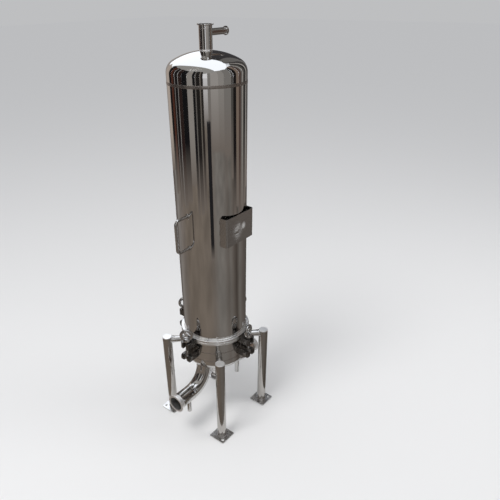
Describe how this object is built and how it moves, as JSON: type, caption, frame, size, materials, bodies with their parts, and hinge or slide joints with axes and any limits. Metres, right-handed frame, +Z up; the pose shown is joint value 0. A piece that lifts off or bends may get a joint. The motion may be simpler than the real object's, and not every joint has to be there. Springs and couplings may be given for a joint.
{
  "type": "multi-cartridge filter housing",
  "caption": "Tall sanitary bell housing for filter cartridges, on tubular legs, with swing-bolt closures, bottom inlet and outlet elbows and a top vent.",
  "frame": {"origin": "on the floor, on the axis of the housing", "axes": "+X to the outlet, -X to the inlet, -Y to the nameplate bracket, +Z up"},
  "size_m": [0.524, 0.38, 1.5249],
  "materials": {
    "polished_steel": "mirror-polished stainless steel",
    "machined_steel": "turned and polished stainless steel",
    "satin_steel": "satin stainless steel",
    "cast_lug_steel": "dark satin cast stainless steel",
    "bolt_steel": "plain stainless fasteners, slightly dull",
    "eye_nut_steel": "cast and tumbled stainless steel",
    "seal_silicone": "white silicone rubber",
    "filter_plastic": "moulded natural polypropylene",
    "filter_media": "white pleated filter membrane"
  },
  "bodies": {
    "housing": {"bell_shell": "polished_steel", "bell_head": "polished_steel", "base_shell": "polished_steel", "base_dish": "polished_steel", "vent_stack": "polished_steel", "vent_branch": "polished_steel", "inlet_riser": "polished_steel", "inlet_elbow": "polished_steel", "inlet_pipe": "polished_steel", "outlet_elbow": "polished_steel", "outlet_pipe": "polished_steel", "centre_outlet": "polished_steel", "inlet_drain": "polished_steel", "outlet_drain": "polished_steel", "leg_1": "polished_steel", "leg_2": "polished_steel", "leg_3": "polished_steel", "leg_4": "polished_steel", "leg_arms": "polished_steel", "tube_sheet": "polished_steel", "bell_ring": "machined_steel", "base_ring": "machined_steel", "vent_ferrule": "machined_steel", "branch_ferrule": "machined_steel", "inlet_ferrule": "machined_steel", "outlet_ferrule": "machined_steel", "centre_ferrule": "machined_steel", "leg_caps": "machined_steel", "handle_inlet_side": "satin_steel", "handle_outlet_side": "satin_steel", "nameplate_bracket": "satin_steel", "foot_plates": "satin_steel", "cartridge_sockets": "satin_steel", "guide_plate": "satin_steel", "tie_rods": "satin_steel", "tie_rod_nuts": "satin_steel", "fork_lugs": "cast_lug_steel", "clevis_lugs": "cast_lug_steel", "clevis_pins": "bolt_steel", "pin_clips": "bolt_steel", "seal_ring": "seal_silicone", "cartridge_seals": "seal_silicone", "cartridge_adaptors": "filter_plastic", "cartridge_cages": "filter_plastic", "cartridge_cores": "filter_plastic", "cartridge_end_caps": "filter_plastic", "cartridge_media": "filter_media"},
    "bolt_1": {"swing_bolt_1": "bolt_steel"},
    "washer_1": {"washer_1": "bolt_steel"},
    "nut_1": {"eye_nut_1": "eye_nut_steel"},
    "bolt_2": {"swing_bolt_2": "bolt_steel"},
    "washer_2": {"washer_2": "bolt_steel"},
    "nut_2": {"eye_nut_2": "eye_nut_steel"},
    "bolt_3": {"swing_bolt_3": "bolt_steel"},
    "washer_3": {"washer_3": "bolt_steel"},
    "nut_3": {"eye_nut_3": "eye_nut_steel"},
    "bolt_4": {"swing_bolt_4": "bolt_steel"},
    "washer_4": {"washer_4": "bolt_steel"},
    "nut_4": {"eye_nut_4": "eye_nut_steel"}
  },
  "joints": [
    {"name": "bolt_1_swing", "type": "hinge", "parent": "housing", "child": "bolt_1", "pos_m": [0.172, 0, 0.38], "axis": [0, 1, 0], "range_deg": [0, 175]},
    {"name": "nut_1_travel", "type": "slide", "parent": "bolt_1", "child": "washer_1", "axis": [0, 0, 1], "range_m": [0, 0.0088]},
    {"name": "nut_1_spin", "type": "hinge", "parent": "washer_1", "child": "nut_1", "pos_m": [0.172, 0, 0.4581], "axis": [0, 0, 1], "range_deg": [0, 1800]},
    {"name": "bolt_2_swing", "type": "hinge", "parent": "housing", "child": "bolt_2", "pos_m": [0, 0.172, 0.38], "axis": [-1, 0, 0], "range_deg": [0, 175]},
    {"name": "nut_2_travel", "type": "slide", "parent": "bolt_2", "child": "washer_2", "axis": [0, 0, 1], "range_m": [0, 0.0088]},
    {"name": "nut_2_spin", "type": "hinge", "parent": "washer_2", "child": "nut_2", "pos_m": [0, 0.172, 0.4581], "axis": [0, 0, 1], "range_deg": [0, 1800]},
    {"name": "bolt_3_swing", "type": "hinge", "parent": "housing", "child": "bolt_3", "pos_m": [-0.172, 0, 0.38], "axis": [0, -1, 0], "range_deg": [0, 175]},
    {"name": "nut_3_travel", "type": "slide", "parent": "bolt_3", "child": "washer_3", "axis": [0, 0, 1], "range_m": [0, 0.0088]},
    {"name": "nut_3_spin", "type": "hinge", "parent": "washer_3", "child": "nut_3", "pos_m": [-0.172, 0, 0.4581], "axis": [0, 0, 1], "range_deg": [0, 1800]},
    {"name": "bolt_4_swing", "type": "hinge", "parent": "housing", "child": "bolt_4", "pos_m": [0, -0.172, 0.38], "axis": [1, 0, 0], "range_deg": [0, 175]},
    {"name": "nut_4_travel", "type": "slide", "parent": "bolt_4", "child": "washer_4", "axis": [0, 0, 1], "range_m": [0, 0.0088]},
    {"name": "nut_4_spin", "type": "hinge", "parent": "washer_4", "child": "nut_4", "pos_m": [0, -0.172, 0.4581], "axis": [0, 0, 1], "range_deg": [0, 1800]}
  ],
  "couplings": [
    {"joint": "nut_1_travel", "follows": "nut_1_spin", "m_per_rad": 0.00027852},
    {"joint": "nut_2_travel", "follows": "nut_2_spin", "m_per_rad": 0.00027852},
    {"joint": "nut_3_travel", "follows": "nut_3_spin", "m_per_rad": 0.00027852},
    {"joint": "nut_4_travel", "follows": "nut_4_spin", "m_per_rad": 0.00027852}
  ]
}
